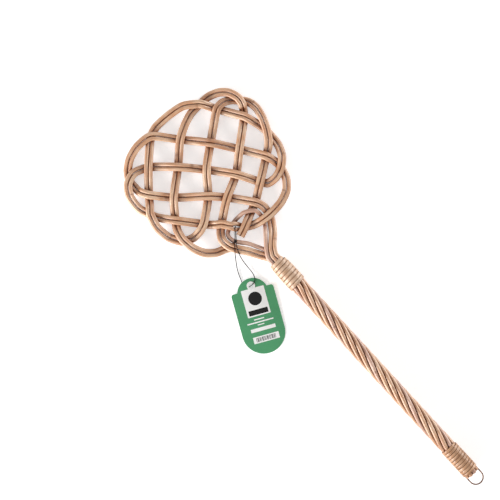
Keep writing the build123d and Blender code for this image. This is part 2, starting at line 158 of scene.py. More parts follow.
# Cord: the tag's string, from its knot round the cane, back to the knot, through the tag and up
# again. Each leg is given by shares of the head's width and of the weave's height
string_place = (0.175, -0.346, 0.35)
wrap_centre = on_weave(*string_place) - weave_up * (pair_pitch / 2 + string_room)
side_step = (string_diameter + string_gap) / 2
wrap_step = 45.0
wrap_corners = 6
wrap_corner = wrap_radius / cos(radians(wrap_step / 2))
right_leg_shares = [
    (0.182, -0.467, 1.06),
    (0.191, -0.498, 1.04),
    (0.201, -0.523, 0.82),
    (0.223, -0.559, 0.35),
    (0.251, -0.594, 0.07),
    (0.276, -0.624, 0.05),
    (0.292, -0.653, 0.21),
    (0.292, -0.678, 0.21),
]
left_leg_shares = [
    (0.238, -0.718, 0.0),
    (0.219, -0.703, 0.0),
    (0.209, -0.674, 0.0),
    (0.195, -0.640, 0.0),
    (0.184, -0.602, 0.03),
    (0.178, -0.561, 0.35),
    (0.174, -0.528, 0.82),
    (0.172, -0.500, 1.04),
    (0.170, -0.473, 1.06),
]


def on_string(across, up, height):
    place = on_weave(across, up, 0)
    return Vector((place.x, place.y, string_radius + string_gap + height * weave_top))


def off_cane(side, out, rise):
    """A place beside the cane that the string turns about: along it, out from it and above it."""
    return wrap_centre + weave_across * side - weave_up * out + Vector((0, 0, rise))


tag_heading = radians(tag_tilt + weave_angle - 90)
tag_slope = atan2(tag_lift, tag_height - hole_below_top)
tag_x, tag_y = cos(tag_heading), sin(tag_heading)
tag_foot = Vector((tag_x * cos(tag_slope), tag_y * cos(tag_slope), -sin(tag_slope)))
tag_face = Vector((tag_x * sin(tag_slope), tag_y * sin(tag_slope), cos(tag_slope)))
tag_right = tag_face.cross(tag_foot)
tag_hole = on_weave(0.268, -0.706, 0)
tag_hole.z = tag_lift


def on_tag(right, up, rise):
    return tag_hole + tag_right * right - tag_foot * up + tag_face * rise


thread = thread_reach * Vector((cos(radians(thread_angle)), sin(radians(thread_angle))))
thread_top = tag_thickness + eyelet_thickness + string_radius + 2 * string_gap
thread_bottom = -string_radius - 2 * string_gap
string_route = [off_cane(-side_step, knot_reach - string_end_reach, knot_rise)]
for i in range(wrap_corners):
    side = side_step * (2 * i / (wrap_corners - 1) - 1)
    angle = pi / 2 + radians(i * wrap_step)
    string_route.append(off_cane(side, wrap_corner * cos(angle), wrap_corner * sin(angle)))
string_route.append(off_cane(side_step, knot_reach - knot_length, knot_rise))
string_route += [on_string(*share) for share in right_leg_shares]
string_route.append(on_tag(thread.x, thread.y, thread_top))
string_route.append(on_tag(-thread.x, -thread.y, thread_bottom))
string_route += [on_string(*share) for share in left_leg_shares]
string_route.append(off_cane(-side_step, knot_reach + string_end_reach, knot_rise))


def line_of(points, resolution):
    """Points, in mm, along the smooth spline with these control points, also in mm."""
    curve = bpy.data.curves.new("guide", "CURVE")
    curve.dimensions = "3D"
    curve.resolution_u = resolution
    spline = curve.splines.new("NURBS")
    spline.points.add(len(points) - 1)
    for place, point in zip(spline.points, points):
        place.co = (*(point * MM), 1)
    spline.order_u = 3
    spline.use_endpoint_u = True
    guide = placed("guide", curve)
    mesh = bpy.data.meshes.new_from_object(guide)
    line = [v.co / MM for v in mesh.vertices]
    bpy.data.meshes.remove(mesh)
    bpy.data.objects.remove(guide)
    return line


string_line = line_of(string_route, resolution=12)


# Materials
def linear(hex_colour):
    """Linear colour from a hex sRGB one."""
    parts = [int(hex_colour[i : i + 2], 16) / 255 for i in (1, 3, 5)]
    return (*(c / 12.92 if c <= 0.04045 else ((c + 0.055) / 1.055) ** 2.4 for c in parts), 1)


def per_mm(count):
    """A texture's scale, from how many of its features lie in one mm."""
    return count / MM


def feed(tree, node, inputs):
    """Sets a node's inputs, each to a value or to another node's output."""
    for name, value in inputs.items():
        if isinstance(value, bpy.types.NodeSocket):
            tree.links.new(value, node.inputs[name])
        else:
            node.inputs[name].default_value = value


def add(tree, kind, inputs=None, **settings):
    """A new node with its settings and its inputs."""
    made = tree.nodes.new("ShaderNode" + kind)
    for name, value in settings.items():
        setattr(made, name, value)
    feed(tree, made, inputs or {})
    return made


def mix(tree, share, a, b):
    return add(tree, "Mix", {0: share, 6: a, 7: b}, data_type="RGBA").outputs[2]


def remap(tree, value, low, high, to_low=0.0, to_high=1.0):
    inputs = {0: value, 1: low, 2: high, 3: to_low, 4: to_high}
    return add(tree, "MapRange", inputs).outputs[0]


def calculated(tree, operation, *values):
    return add(tree, "Math", dict(enumerate(values)), operation=operation).outputs[0]


def length_of(tree, vector):
    return add(tree, "VectorMath", {0: vector}, operation="LENGTH").outputs["Value"]


def noise(tree, vector, scale, detail=3.0, roughness=0.5):
    inputs = {"Vector": vector, "Scale": scale, "Detail": detail, "Roughness": roughness}
    return add(tree, "TexNoise", inputs).outputs[0]


def cells(tree, vector, scale):
    return add(tree, "TexVoronoi", {"Vector": vector, "Scale": scale}).outputs["Distance"]


def stretched(tree, vector, scale):
    return add(tree, "Mapping", {0: vector, 3: scale}).outputs[0]


def drawn_out(tree, grain, share):
    """The grain with its length scaled by this share, which draws a texture out along the piece."""
    return stretched(tree, grain, (1, 1, share))


def attribute(tree, name, output):
    return add(tree, "Attribute", attribute_name=name).outputs[output]


def bumped(tree, height, distance, strength, under=None):
    """A normal over this relief, its distance in mm, laid on the relief under it."""
    inputs = {"Strength": strength, "Distance": distance * MM, "Height": height}
    if under:
        inputs["Normal"] = under
    return add(tree, "Bump", inputs).outputs[0]


def tinted(tree, colour, other, mask, low, high, most=1.0):
    """The colour, going over to another by up to this share as the mask goes from low to high."""
    return mix(tree, remap(tree, mask, low, high, 0, most), colour, linear(other))


def with_painted_shade(tree, colour, dark, reach, most=0.92):
    """The colour with painted shade: a darker one where other pieces lie within this reach, in mm.
    """
    openness = add(tree, "AmbientOcclusion", {"Distance": reach * MM}, samples=8).outputs["AO"]
    return tinted(tree, colour, dark, openness, 0.85, 0.4, most)


def finish_of(name):
    """A new material: it, its node tree and its shader."""
    made = bpy.data.materials.new(name)
    made.use_nodes = True
    return made, made.node_tree, made.node_tree.nodes["Principled BSDF"]


def cane_finish(name, pale, main, deep, mark, wear_and_shade):
    """Rattan, peeled and sanded: satin, with fine fibres along it, slow changes of tone, dark
    rings at the nodes where leaves grew, a painted warm shade where canes cross, and painted
    shade in the grooves between them."""
    made, tree, shader = finish_of(name)
    grain = attribute(tree, "grain", "Vector")
    ring = attribute(tree, "node_mark", "Fac")
    fibre = noise(tree, drawn_out(tree, grain, 0.012), per_mm(3.2), detail=4, roughness=0.65)
    streak = noise(tree, drawn_out(tree, grain, 0.03), per_mm(0.5))
    drift = noise(tree, grain, per_mm(0.045), roughness=0.6)
    speck = noise(tree, drawn_out(tree, grain, 0.3), per_mm(1.6), detail=2)
    colour = tinted(tree, linear(main), pale, drift, 0.36, 0.64)
    colour = tinted(tree, colour, deep, streak, 0.42, 0.72, most=0.75)
    colour = tinted(tree, colour, deep, fibre, 0.45, 0.68, most=0.45)
    colour = tinted(tree, colour, mark, speck, 0.66, 0.74, most=0.5)
    colour = tinted(tree, colour, mark, ring, 0.1, 1.0, most=0.75)
    # Painted shade: a warmer, darker tone where other canes lie close, as under crossings
    colour = with_painted_shade(tree, colour, wear_and_shade, reach=14.0, most=0.75)
    # Painted shade: dark brown in the grooves between canes
    colour = with_painted_shade(tree, colour, mark, reach=3.5)
    relief = bumped(tree, fibre, distance=0.05, strength=0.5)
    relief = bumped(tree, streak, distance=0.12, strength=0.35, under=relief)
    feed(tree, shader, {
        "Base Color": colour,
        "Roughness": remap(tree, fibre, 0.3, 0.7, 0.3, 0.46),
        "Normal": relief,
        "Specular IOR Level": 0.6,
        "Coat Weight": 0.5,
        "Coat Roughness": 0.34,
    })
    return made


def cut_finish(name, pale, deep, pore):
    """A cane's sawn end: packed pores and a darker rim."""
    made, tree, shader = finish_of(name)
    rim_width = 0.5
    flat = stretched(tree, attribute(tree, "grain", "Vector"), (1, 1, 0))
    pores = cells(tree, flat, per_mm(2.4))
    from_axis = length_of(tree, flat)
    rim_start, rim_end = (cane_radius - rim_width) * MM, cane_radius * MM
    colour = mix(tree, noise(tree, flat, per_mm(0.5)), linear(pale), linear(deep))
    colour = tinted(tree, colour, pore, pores, 0.28, 0.12)
    colour = tinted(tree, colour, pore, from_axis, rim_start, rim_end, most=0.6)
    feed(tree, shader, {
        "Base Color": colour,
        "Roughness": 0.85,
        "Normal": bumped(tree, pores, distance=0.15, strength=0.6),
        "Specular IOR Level": 0.2,
    })
    return made


def peel_finish(name, pale, main, deep):
    """Flat rattan peel, split from the cane's skin: fibres along the strip, paler and darker
    stretches, and painted shade on both edges and in the gaps between turns."""
    made, tree, shader = finish_of(name)
    grain = attribute(tree, "grain", "Vector")
    edge = attribute(tree, "node_mark", "Fac")
    fibre = noise(tree, drawn_out(tree, grain, 0.02), per_mm(4.0), detail=4, roughness=0.65)
    streak = noise(tree, drawn_out(tree, grain, 0.05), per_mm(0.8))
    drift = noise(tree, grain, per_mm(0.06), roughness=0.6)
    colour = tinted(tree, linear(main), pale, drift, 0.38, 0.62)
    colour = tinted(tree, colour, deep, streak, 0.45, 0.75, most=0.7)
    colour = tinted(tree, colour, deep, fibre, 0.5, 0.7, most=0.4)
    # Painted shade: darker flanks where the strip turns down into the gaps between turns, and
    # darker still where other turns lie close
    colour = tinted(tree, colour, deep, edge, 0.1, 0.9, most=0.9)
    colour = with_painted_shade(tree, colour, deep, reach=1.5)
    relief = bumped(tree, fibre, distance=0.05, strength=0.5)
    relief = bumped(tree, streak, distance=0.1, strength=0.35, under=relief)
    feed(tree, shader, {
        "Base Color": colour,
        "Roughness": remap(tree, fibre, 0.3, 0.7, 0.28, 0.46),
        "Normal": relief,
        "Specular IOR Level": 0.55,
    })
    return made


def wire_finish():
    """Old iron wire: dull, with brown specks of rust and fine drawing lines."""
    made, tree, shader = finish_of("iron_wire")
    grain = attribute(tree, "grain", "Vector")
    rust = noise(tree, grain, per_mm(0.7), detail=4, roughness=0.7)
    lines = noise(tree, drawn_out(tree, grain, 0.01), per_mm(5.0), detail=2)
    feed(tree, shader, {
        "Base Color": tinted(tree, linear("#86695A"), "#56392B", rust, 0.42, 0.62),
        "Roughness": remap(tree, rust, 0.4, 0.65, 0.4, 0.75),
        "Metallic": remap(tree, rust, 0.42, 0.62, 0.8, 0.2),
        "Normal": bumped(tree, lines, distance=0.03, strength=0.4),
    })
    return made


def core_finish():
    """The core's stick: rings and pores at its sawn end, which run along it as fibres."""
    made, tree, shader = finish_of("core_wood")
    place = add(tree, "TexCoord").outputs["Object"]
    axis = (0, axis_y * MM, axis_z * MM)
    from_axis = add(tree, "VectorMath", {0: place, 1: axis}, operation="SUBTRACT").outputs[0]
    across = stretched(tree, from_axis, (0, 1, 1))
    wobble = noise(tree, across, per_mm(0.5), detail=2)
    phase = calculated(tree, "MULTIPLY_ADD", length_of(tree, across), per_mm(8.0), wobble)
    ring = calculated(tree, "SINE", phase)
    pores = cells(tree, across, per_mm(2.5))
    colour = tinted(tree, linear("#B98B58"), "#8F6238", ring, -1, 1, most=0.6)
    colour = tinted(tree, colour, "#5A3B20", pores, 0.25, 0.1, most=0.8)
    feed(tree, shader, {
        "Base Color": colour,
        "Roughness": 0.8,
        "Normal": bumped(tree, pores, distance=0.12, strength=0.5),
    })
    return made


def thread_finish():
    """Black cotton string, two plies twisted: dull, with a groove that winds round it, painted
    shade in that groove, and a slight fuzz."""
    made, tree, shader = finish_of("cotton_string")
    ply_count, ply_pitch = 2.0, 2.6
    grain = attribute(tree, "grain", "Vector")
    parts = add(tree, "SeparateXYZ", {0: grain}).outputs
    around = calculated(tree, "ARCTAN2", parts["Y"], parts["X"])
    start = calculated(tree, "MULTIPLY", around, ply_count)
    phase = calculated(tree, "MULTIPLY_ADD", parts["Z"], per_mm(2 * pi / ply_pitch), start)
    plies = remap(tree, calculated(tree, "SINE", phase), -1, 1)
    fuzz = noise(tree, grain, per_mm(6.0), detail=4, roughness=0.7)
    # Painted shade: darker in the groove between the plies than on their crowns
    colour = tinted(tree, linear("#060607"), "#161618", plies, 0.2, 0.9)
    colour = tinted(tree, colour, "#2C2C2F", fuzz, 0.55, 0.75, most=0.5)
    relief = bumped(tree, plies, distance=0.25, strength=0.8)
    relief = bumped(tree, fuzz, distance=0.08, strength=0.6, under=relief)
    feed(tree, shader, {
        "Base Color": colour,
        "Roughness": 0.9,
        "Normal": relief,
        "Specular IOR Level": 0.15,
        "Sheen Weight": 0.1,
    })
    return made


def card_finish(name, main, wear_and_shade, roughness, wear):
    """Printed card or plastic: a faint tooth and cloud in the colour, and small worn flecks."""
    made, tree, shader = finish_of(name)
    cloud_share, roughness_spread = 0.93, 0.06
    place = add(tree, "TexCoord").outputs["Object"]
    tooth = noise(tree, place, per_mm(5.0), detail=4, roughness=0.7)
    cloud = noise(tree, place, per_mm(0.05))
    fleck = noise(tree, place, per_mm(0.9), detail=5, roughness=0.75)
    deeper = (*(c * cloud_share for c in linear(main)[:3]), 1)
    colour = mix(tree, remap(tree, cloud, 0.35, 0.65), linear(main), deeper)
    colour = tinted(tree, colour, wear_and_shade, fleck, 0.66, 0.74, most=wear)
    colour = tinted(tree, colour, wear_and_shade, tooth, 0.4, 0.8, most=0.12)
    smooth, rough = roughness - roughness_spread, roughness + roughness_spread
    feed(tree, shader, {
        "Base Color": colour,
        "Roughness": remap(tree, tooth, 0.3, 0.7, smooth, rough),
        "Normal": bumped(tree, tooth, distance=0.02, strength=0.4),
        "Specular IOR Level": 0.3,
    })
    return made


# Cane colours: pale, main, deep, then mark for node rings, specks and the painted shade in the
# grooves, then the painted warm shade where canes cross
rattan = cane_finish("rattan_cane", "#E8C6A6", "#D09C74", "#9A5C32", "#6A3014", "#B8703C")
pink_rattan = cane_finish("rattan_cane_pink", "#E0BCA6", "#C89C84", "#986852", "#6B4030", "#B0765E")
cut_rattan = cut_finish("rattan_sawn", "#C98A55", "#A96E3C", "#5E391E")
neck_peel = peel_finish("rattan_peel_pale", "#E7CAAF", "#C89F7E", "#8F6244")
end_peel = peel_finish("rattan_peel_brown", "#D8AE8C", "#AE7C54", "#643818")
iron = wire_finish()
core_wood = core_finish()
cotton = thread_finish()
green_card = card_finish("green_card", "#4C9A69", "#A9CDB4", 0.55, 0.3)
white_print = card_finish("white_print", "#FCFCFA", "#E4E7E2", 0.55, 0.3)
dark_print = card_finish("dark_print", "#060606", "#303030", 0.8, 0.15)
white_plastic = card_finish("white_plastic", "#FAFAF8", "#E2E2DE", 0.42, 0.2)


# Mesh code
def skin(name, rings, grains, marks, materials, body, slot_name, *replaced):
    """A mesh over rings of points, with a flat cap at each end, that stands for its nodes."""
    sides = len(rings[0])
    places = [p * MM for ring in rings for p in ring]
    grain = [g * MM for ring in grains for g in ring]
    mark = [m for ring in marks for m in ring]
    faces = []
    for i in range(len(rings) - 1):
        for j in range(sides):
            k = (j + 1) % sides
            near, far = i * sides, (i + 1) * sides
            faces.append((near + j, near + k, far + k, far + j))
    side_faces = len(faces)
    for end, order in ((0, -1), (len(rings) - 1, 1)):
        start = len(places)
        places += [p * MM for p in rings[end]]
        grain += [g * MM for g in grains[end]]
        mark += [0.0] * sides
        faces.append(tuple(range(start, start + sides))[::order])
    mesh = bpy.data.meshes.new(name)
    mesh.from_pydata(places, [], faces)
    for finish in materials:
        mesh.materials.append(finish)
    for face in mesh.polygons:
        face.use_smooth = face.index < side_faces
        face.material_index = 0 if face.index < side_faces else len(materials) - 1
    stored = mesh.attributes.new("grain", "FLOAT_VECTOR", "POINT")
    stored.data.foreach_set("vector", [c for g in grain for c in g])
    stored = mesh.attributes.new("node_mark", "FLOAT", "POINT")
    stored.data.foreach_set("value", mark)
    made = placed(name, mesh)
    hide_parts(*replaced)
    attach(made, body)
    return made


def carried(points):
    """Each point with its direction and a cross direction that is carried along without twist."""
    frames = []
    cross = None
    last = len(points) - 1
    for i, point in enumerate(points):
        heading = (points[min(i + 1, last)] - points[max(i - 1, 0)]).normalized()
        if cross is None:
            cross = heading.orthogonal()
        cross = (cross - heading * cross.dot(heading)).normalized()
        frames.append((point, heading, cross))
    return frames


end_chamfer = 0.12
end_share = 0.9
string_sides, knot_sides, cane_sides, wire_sides = 12, 10, 14, 16


def tube(name, points, radius, sides, shape, materials, body, slot_name, *replaced):
    """A round rod along points; shape gives its radius share and its mark at each length."""
    rings, grains, marks = [], [], []
    run = 0.0
    chamfer = end_chamfer * radius
    turns = [2 * pi * j / sides for j in range(sides)]
    total = sum((b - a).length for a, b in zip(points, points[1:]))
    frames = carried(points)
    first = frames[0][0] + frames[0][1] * chamfer, *frames[0][1:]
    last = frames[-1][0] - frames[-1][1] * chamfer, *frames[-1][1:]
    stops = [(*frames[0], end_share), (*first, 1.0)] + [(*f, 1.0) for f in frames[1:-1]]
    stops += [(*last, 1.0), (*frames[-1], end_share)]
    previous = frames[0][0]
    for point, heading, cross, share in stops:
        run += (point - previous).length
        previous = point
        swell, mark = shape(run, total)
        other = heading.cross(cross)
        r = radius * share * swell
        rings.append([point + (cross * cos(t) + other * sin(t)) * r for t in turns])
        grains.append([Vector((r * cos(t), r * sin(t), run)) for t in turns])
        marks.append([mark] * sides)
    return skin(name, rings, grains, marks, materials, body, slot_name, *replaced)


node_reach = 1.6
node_swell = 0.035
cane_share = 0.985
slow_swell = 0.012
slow_length = 47


def with_nodes(first, gaps):
    """A cane's shape: slight swellings with a dark ring at its nodes, and a slow change of
    thickness. The first node lies this far from its start, and the gaps are between nodes."""

    def shape(run, total):
        place, count, mark = first, 0, 0.0
        while place < total:
            mark = max(mark, 1 - abs(run - place) / node_reach)
            place += gaps[count % len(gaps)]
            count += 1
        slow = slow_swell * sin(run / slow_length + first)
        return cane_share + slow + node_swell * mark, mark

    return shape


def plain_shape(run, total):
    return 1.0, 0.0


# String of the tag, and its knot: turns of the same string laid round its strands
string = tube(
    "string_cord", string_line, string_radius, string_sides, plain_shape, [cotton],
    "string", "string", "tag_string",
)
knot_place = off_cane(0, knot_reach, knot_rise)
knot_coil_radius = 1.35
knot_steps, knot_turn_steps = 60, 16
knot_points = []
for i in range(knot_steps + 1):
    angle = 2 * pi * i / knot_turn_steps
    along = (i / knot_steps - 0.5) * (knot_length - string_diameter)
    around = weave_across * cos(angle) + Vector((0, 0, sin(angle)))
    knot_points.append(knot_place - weave_up * along + around * knot_coil_radius)
knot = tube(
    "string_turns", knot_points, string_radius, knot_sides, plain_shape, [cotton],
    "string", "string", "string_knot",
)


# Canes
def beside(points, sides):
    """The same route, each point moved in plan by its side, to the left of its direction."""
    moved = []
    for i, point in enumerate(points):
        before = points[i] - points[i - 1] if i else points[1] - points[0]
        after = points[i + 1] - points[i] if i + 1 < len(points) else before
        before, after = (Vector((v.x, v.y, 0)).normalized() for v in (before, after))
        left = Vector((-before.y - after.y, before.x + after.x, 0)).normalized()
        moved.append(point + left * (sides[i] / left.dot(Vector((-before.y, before.x, 0)))))
    return moved


def corner_cut(a, b, c):
    """The two places where the corner at b is cut across."""
    reach = cut_share * min((a - b).length, (c - b).length)
    return b + (a - b).normalized() * reach, b + (c - b).normalized() * reach


def corner_cuts(corners):
    return [corner_cut(*near) for near in zip(corners, corners[1:], corners[2:])]


def through(points):
    """A cane's route, with its corners cut, whose cuts have their middles at these points."""
    corners = list(points)
    for _ in range(fitting_passes):
        cuts = corner_cuts(corners)
        moved = [b + point - (p + q) / 2 for b, point, (p, q) in zip(corners[1:], points[1:], cuts)]
        corners = [points[0], *moved, points[-1]]
    return [points[0], *(place for cut in corner_cuts(corners) for place in cut), points[-1]]


# The weave, in shares of the head's width across and up. By row, its crossings with columns 1 to 5
crossing_shares = {
    1: ((-0.218, 0.351), (-0.045, 0.398), (0.063, 0.369), (0.227, 0.322), (0.365, 0.235)),
    2: ((-0.341, 0.200), (-0.160, 0.184), (0.022, 0.162), (0.199, 0.125), (0.361, 0.081)),
    3: ((-0.353, 0.015), (-0.176, 0.015), (0.000, 0.000), (0.177, -0.029), (0.325, -0.074)),
    4: ((-0.353, -0.154), (-0.199, -0.169), (0.008, -0.162), (0.125, -0.169), (0.295, -0.199)),
    5: ((-0.341, -0.274), (-0.191, -0.309), (-0.018, -0.331), (0.089, -0.331), (0.232, -0.348)),
}


def row(number, columns):
    """A row through its crossings: over where the row and column numbers have an odd sum."""
    return [(*crossing_shares[number][c - 1], 1 if (number + c) % 2 else -1) for c in columns]


def column(number, rows):
    """A column through its crossings: under where a row goes over."""
    return [(*crossing_shares[r][number - 1], -1 if (number + r) % 2 else 1) for r in rows]


# Between the crossings: shares across and up, and the level, which is 1 over and -1 under
neck_right_shares = [
    (0.402, -0.387, 0.9), (0.396, -0.330, -1.0), (0.381, -0.272, -1.0), (0.344, -0.224, 0.15),
]
left_lobe_shares = [
    (-0.395, -0.141, 0.8), (-0.422, -0.124, -0.4), (-0.467, -0.072, -1.0), (-0.481, -0.008, -1.0),
    (-0.467, 0.065, 0.0), (-0.422, 0.138, 0.8),
]
lower_lobe_shares = [
    (0.411, 0.053, 0.0), (0.436, 0.033, -0.9), (0.453, 0.010, -1.0), (0.481, -0.050, -0.4),
    (0.484, -0.123, 0.5), (0.450, -0.199, 1.0), (0.390, -0.266, 1.0), (0.340, -0.305, 0.9),
    (0.289, -0.333, -0.7),
]
left_loop_shares = [
    (-0.413, -0.236, -0.9), (-0.464, -0.166, 0.8), (-0.476, -0.090, 1.0), (-0.443, -0.023, 0.6),
]
right_lobe_shares = [
    (0.371, -0.081, -0.5), (0.420, -0.047, 0.9), (0.450, 0.013, 1.0), (0.457, 0.077, 1.0),
    (0.435, 0.150, -0.9),
]
corner_shares = [(-0.145, 0.384, 0.9), (-0.240, 0.323, 0.0), (-0.312, 0.257, -0.9)]
bottom_lobe_shares = [
    (-0.300, -0.351, 0.9), (-0.230, -0.412, -0.9), (-0.148, -0.436, -1.0), (-0.081, -0.414, -0.3),
    (-0.039, -0.373, 1.0),
]
top_lobe_shares = [
    (0.095, 0.405, 0.6), (0.147, 0.424, -0.8), (0.204, 0.422, -1.0), (0.256, 0.412, -1.0),
    (0.302, 0.375, 0.0), (0.338, 0.314, 1.0),
]
row_fall_shares = [(0.058, -0.335, 0.7), (0.016, -0.335, -0.7)]
row_low_shares = [(-0.304, -0.290, -0.8)]
column_climb_shares = [(-0.349, -0.192, -0.8), (-0.344, -0.245, 0.7)]
row_dip_shares = [(0.314, 0.275, -0.7), (0.253, 0.309, 0.95)]
row_rise_shares = [(0.013, 0.385, -0.1), (-0.018, 0.393, 0.9)]
column_dip_shares = [(0.376, 0.160, 0.5)]
loop_dip_shares = [(0.270, -0.254, -1.0), (0.246, -0.312, 0.7)]
cut_end_shares = [(0.204, -0.405, 1.0)]
string_side_shares = [(0.206, -0.349, -0.9), string_place, (0.147, -0.343, 1.0)]
neck_left_shares = [
    (0.253, -0.497, 0.9), (0.189, -0.484, 1.0), (0.137, -0.467, 1.0), (0.098, -0.433, 0.5),
    (0.084, -0.385, -0.8),
]
crown_shares = [
    (0.222, 0.366, -0.8), (0.216, 0.396, 1.0), (0.189, 0.436, 1.0), (0.134, 0.466, 0.7),
    (0.074, 0.469, 0.0), (0.010, 0.445, -0.9),
]
shoulder_shares = [(-0.097, 0.342, -0.8), (-0.130, 0.278, 0.3)]
hidden_end_shares = [
    (-0.179, -0.367, -0.4), (-0.145, -0.424, 1.0), (-0.084, -0.476, 1.0), (-0.012, -0.506, 0.0),
    (0.055, -0.505, -0.7), (0.116, -0.482, -1.0), (0.177, -0.467, -1.0),
]
loop_shares = [
    (0.357, -0.387, 0.9), (0.355, -0.342, -0.9), (0.343, -0.300, -1.0), (0.322, -0.269, -0.4),
    (0.295, -0.249, 0.8), (0.267, -0.249, 1.0), (0.222, -0.263, 0.7), (0.177, -0.303, -1.0),
    (0.142, -0.348, -1.0), (0.127, -0.388, -0.5), (0.137, -0.413, 0.0), (0.163, -0.432, 0.4),
    (0.203, -0.442, 0.6), (0.253, -0.449, 0.6),
]
long_shares = (
    neck_right_shares + row(4, (5, 4, 3, 2, 1)) + left_lobe_shares + row(2, (1, 2, 3, 4, 5))
    + lower_lobe_shares + row(5, (5,)) + string_side_shares + row(5, (4,)) + row_fall_shares
    + row(5, (3, 2)) + row_low_shares + row(5, (1,)) + left_loop_shares + row(3, (1, 2, 3, 4, 5))
    + right_lobe_shares + row(1, (5,)) + row_dip_shares + row(1, (4, 3)) + row_rise_shares
    + row(1, (2,)) + corner_shares + column(1, (2, 3, 4)) + column_climb_shares + column(1, (5,))
    + bottom_lobe_shares + column(3, (5, 4, 3, 2, 1)) + top_lobe_shares + column(5, (1,))
    + column_dip_shares + column(5, (2, 3, 4)) + loop_dip_shares + column(5, (5,)) + cut_end_shares
)
short_shares = (
    neck_left_shares + column(4, (5, 4, 3, 2, 1)) + crown_shares + column(2, (1,)) + shoulder_shares
    + column(2, (2, 3, 4, 5)) + hidden_end_shares
)


def entry(level, pitches):
    """Where a cane enters the neck binding, in the upper (1) or lower (-1) row: its throat, its
    mouth and the crotch before it."""
    side = pitches * pair_pitch
    splay = radians(neck_splay)
    throat = Vector((neck_x + throat_depth, axis_y + side, axis_z + level * cross_rise))
    mouth = throat + Vector((level * side * tan(splay / 2) - throat_depth - mouth_reach, 0, 0))
    spread = level * crotch_reach * sin(splay)
    crotch = mouth + Vector((-crotch_reach * cos(splay), spread, -crotch_drop))
    return [throat, mouth, crotch]


def strand(number):
    """A strand of the handle from its sawn end to the neck binding."""
    start = radians(number * strand_angle)
    full_turn = radians(twist_angle)
    places = [(neck_x + neck_spread, neck_ring_radius, 0.0)]
    places.append((twist_x - neck_settle, neck_ring_radius, 0.0))
    for step in range(twist_steps + 1):
        part = step / twist_steps
        radius = twist_vertex_radius if 0 < step < twist_steps else ring_radius
        places.append((twist_x + part * handle_length, radius, part * full_turn))
    places.append((end_x + neck_settle, end_ring_radius, full_turn))
    places.append((end_x + end_binding_length + end_overhang, end_ring_radius, full_turn))
    return [
        Vector((x, axis_y + r * cos(start + turn), axis_z + r * sin(start + turn)))
        for x, r, turn in reversed(places)
    ]


def paired(shares, level, middle, numbers):
    """The two routes of a pair: strands, entry, and the weave to the left and right of its
    middle, with room for the string where it goes round a cane."""
    weave = entry(level, middle) + [on_weave(*share) for share in shares]
    entry_count = len(weave) - len(shares)
    half = [pair_pitch / 2] * entry_count
    half += [pair_pitch / 2 + (string_room if share == string_place else 0) for share in shares]
    routes = []
    for hand, number in zip((1, -1), numbers):
        own = beside(weave, [hand * h for h in half])[entry_count:]
        routes.append(strand(number) + through(entry(level, middle - hand / 2) + own))
    return routes


long_routes = paired(long_shares, 1, 0.5, (2, 1))
short_routes = paired(short_shares, -1, -0.5, (5, 6))
loop_weave = [on_weave(*share) for share in loop_shares]
loop_bends = through(entry(1, -1) + loop_weave + entry(-1, 1)[::-1])
loop_route = strand(3) + loop_bends + strand(7)[::-1]
# Node, route, finish, slot, place of the first leaf node, and gaps between leaf nodes
canes = [
    ("long_cane_left", long_routes[0], rattan, "cane", 70, (230, 265, 205, 250)),
    ("long_cane_right", long_routes[1], rattan, "cane", 150, (245, 215, 270, 225)),
    ("short_cane_left", short_routes[0], rattan, "cane", 120, (255, 210, 240)),
    ("short_cane_right", short_routes[1], rattan, "cane", 40, (225, 260, 235)),
    ("neck_loop_cane", loop_route, pink_rattan, "neck_cane", 180, (240, 260)),
    ("filler_cane_left", strand(4), rattan, "cane", 95, (230,)),
    ("filler_cane_right", strand(0), rattan, "cane", 210, (230,)),
]
for name, route, finish, slot_name, first, gaps in canes:
    line = line_of(route, resolution=5)
    tube(
        name + "_rattan", line, cane_radius * cane_fullness, cane_sides, with_nodes(first, gaps),
        [finish, cut_rattan], "beater", slot_name, name,
    )


# Bindings: flat peel wound with its edges nearly touching. Its section is a crowned strip: shares
# of the half width and of the half thickness, and how much painted shade is there
peel_section = [
    (-1, -1, 0), (0, -1, 0), (1, -1, 0), (1, -0.35, 1), (0.94, 0.2, 0.8), (0.78, 0.62, 0.3),
    (0.45, 0.93, 0), (0, 1.04, 0), (-0.45, 0.93, 0), (-0.78, 0.62, 0.3), (-0.94, 0.2, 0.8),
    (-1, -0.35, 1),
]
turn_gap = 0.5
half_width_share = 0.485
steps_per_turn = 30
tail_steps = 6
tail_tuck = 1.2
tail_width = 0.3
tail_thickness = 0.25


